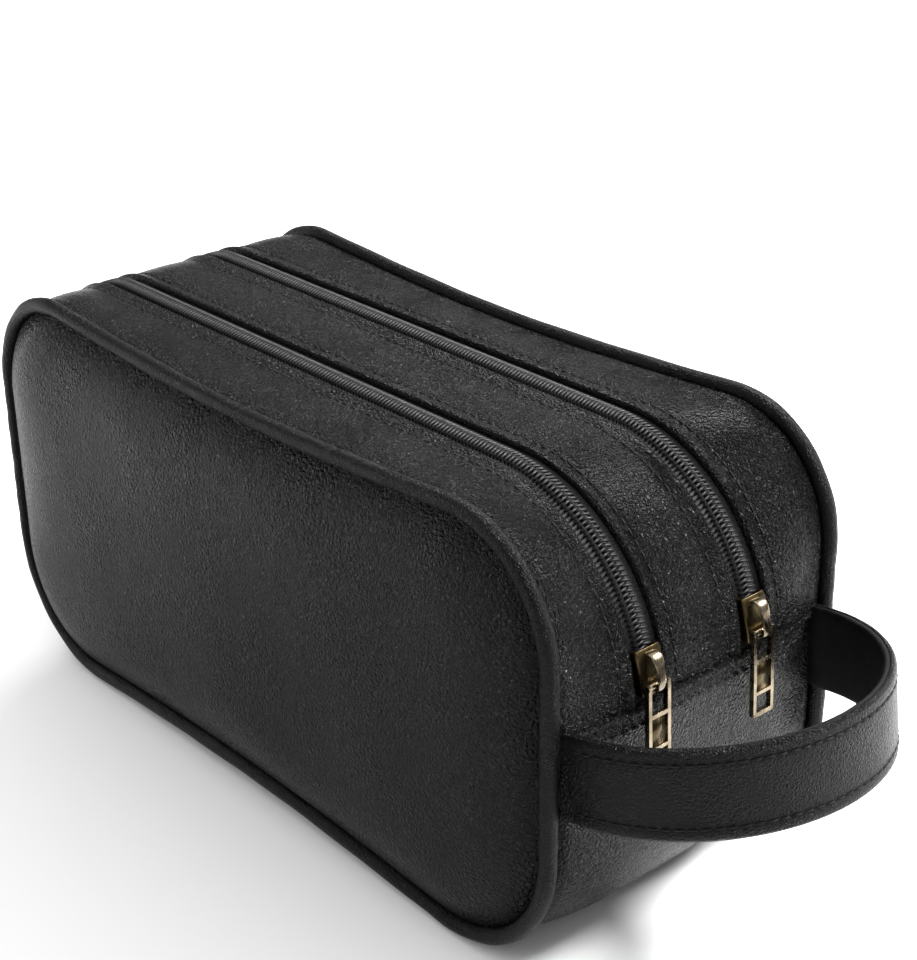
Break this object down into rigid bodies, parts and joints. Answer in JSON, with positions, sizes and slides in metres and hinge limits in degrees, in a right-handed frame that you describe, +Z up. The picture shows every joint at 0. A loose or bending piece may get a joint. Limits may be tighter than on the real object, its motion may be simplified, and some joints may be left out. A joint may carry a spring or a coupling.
{
  "type": "shaving kit bag",
  "caption": "Black grained leather toiletry bag, a rounded box with piped padded panels, two zips over the top with brass pulls and a wrist strap on one end.",
  "frame": {"origin": "centre of the flat bottom between the piped panels, on the surface it stands on", "axes": "+X along the bag towards the wrist strap, +Y from the front panel to the back panel, +Z up"},
  "size_m": [0.3073, 0.1184, 0.1312],
  "materials": {
    "black_leather": "pebbled, satin",
    "piping_leather": "smooth grained, satin",
    "handle_leather": "fine grained, satin",
    "strap_lining": "smooth, matt",
    "zip_tape": "woven",
    "zip_coil": "nylon coil",
    "antique_brass": "antique, satin",
    "lining_fabric": "woven",
    "padding": "soft",
    "board": "matt",
    "piping_cord": "matt"
  },
  "bodies": {
    "bag": {"front_panel": "black_leather", "back_panel": "black_leather", "bottom_band": "black_leather", "top_front_strip": "black_leather", "top_centre_strip": "black_leather", "top_rear_strip": "black_leather", "handle_end_welt": "black_leather", "far_end_welt": "black_leather", "front_foam": "padding", "back_foam": "padding", "front_piping_cover": "piping_leather", "back_piping_cover": "piping_leather", "front_piping_cord": "piping_cord", "back_piping_cord": "piping_cord", "front_zip_tape_outer": "zip_tape", "front_zip_tape_inner": "zip_tape", "rear_zip_tape_outer": "zip_tape", "rear_zip_tape_inner": "zip_tape", "front_zip_coil_outer": "zip_coil", "front_zip_coil_inner": "zip_coil", "rear_zip_coil_outer": "zip_coil", "rear_zip_coil_inner": "zip_coil", "front_zip_stops": "antique_brass", "rear_zip_stops": "antique_brass", "front_lining": "lining_fabric", "rear_lining": "lining_fabric", "divider_panel": "lining_fabric", "bottom_board": "board", "handle_front_root": "handle_leather", "handle_rear_root": "handle_leather"},
    "front_slider": {"front_slider": "antique_brass", "front_slider_bridge": "antique_brass"},
    "rear_slider": {"rear_slider": "antique_brass", "rear_slider_bridge": "antique_brass"},
    "front_pull": {"front_pull": "antique_brass"},
    "rear_pull": {"rear_pull": "antique_brass"},
    "handle": {"handle_outer_leather": "handle_leather", "handle_core": "strap_lining", "handle_lining": "strap_lining"}
  },
  "joints": [
    {"name": "front_slider_travel", "type": "hinge", "parent": "bag", "child": "front_slider", "pos_m": [0.075, -0.0195, 0.0738], "axis": [0, -1, 0], "range_deg": [0, 75]},
    {"name": "front_pull_swing", "type": "hinge", "parent": "front_slider", "child": "front_pull", "pos_m": [0.12962, -0.0195, 0.08243], "axis": [0, -1, 0], "range_deg": [0, 150]},
    {"name": "rear_slider_travel", "type": "hinge", "parent": "bag", "child": "rear_slider", "pos_m": [0.075, 0.0195, 0.0738], "axis": [0, -1, 0], "range_deg": [0, 75]},
    {"name": "rear_pull_swing", "type": "hinge", "parent": "rear_slider", "child": "rear_pull", "pos_m": [0.12962, 0.0195, 0.08243], "axis": [0, -1, 0], "range_deg": [0, 150]},
    {"name": "handle_lift", "type": "hinge", "parent": "bag", "child": "handle", "pos_m": [0.1245, 0, 0.0656], "axis": [0, -1, 0], "range_deg": [-15, 20]}
  ]
}
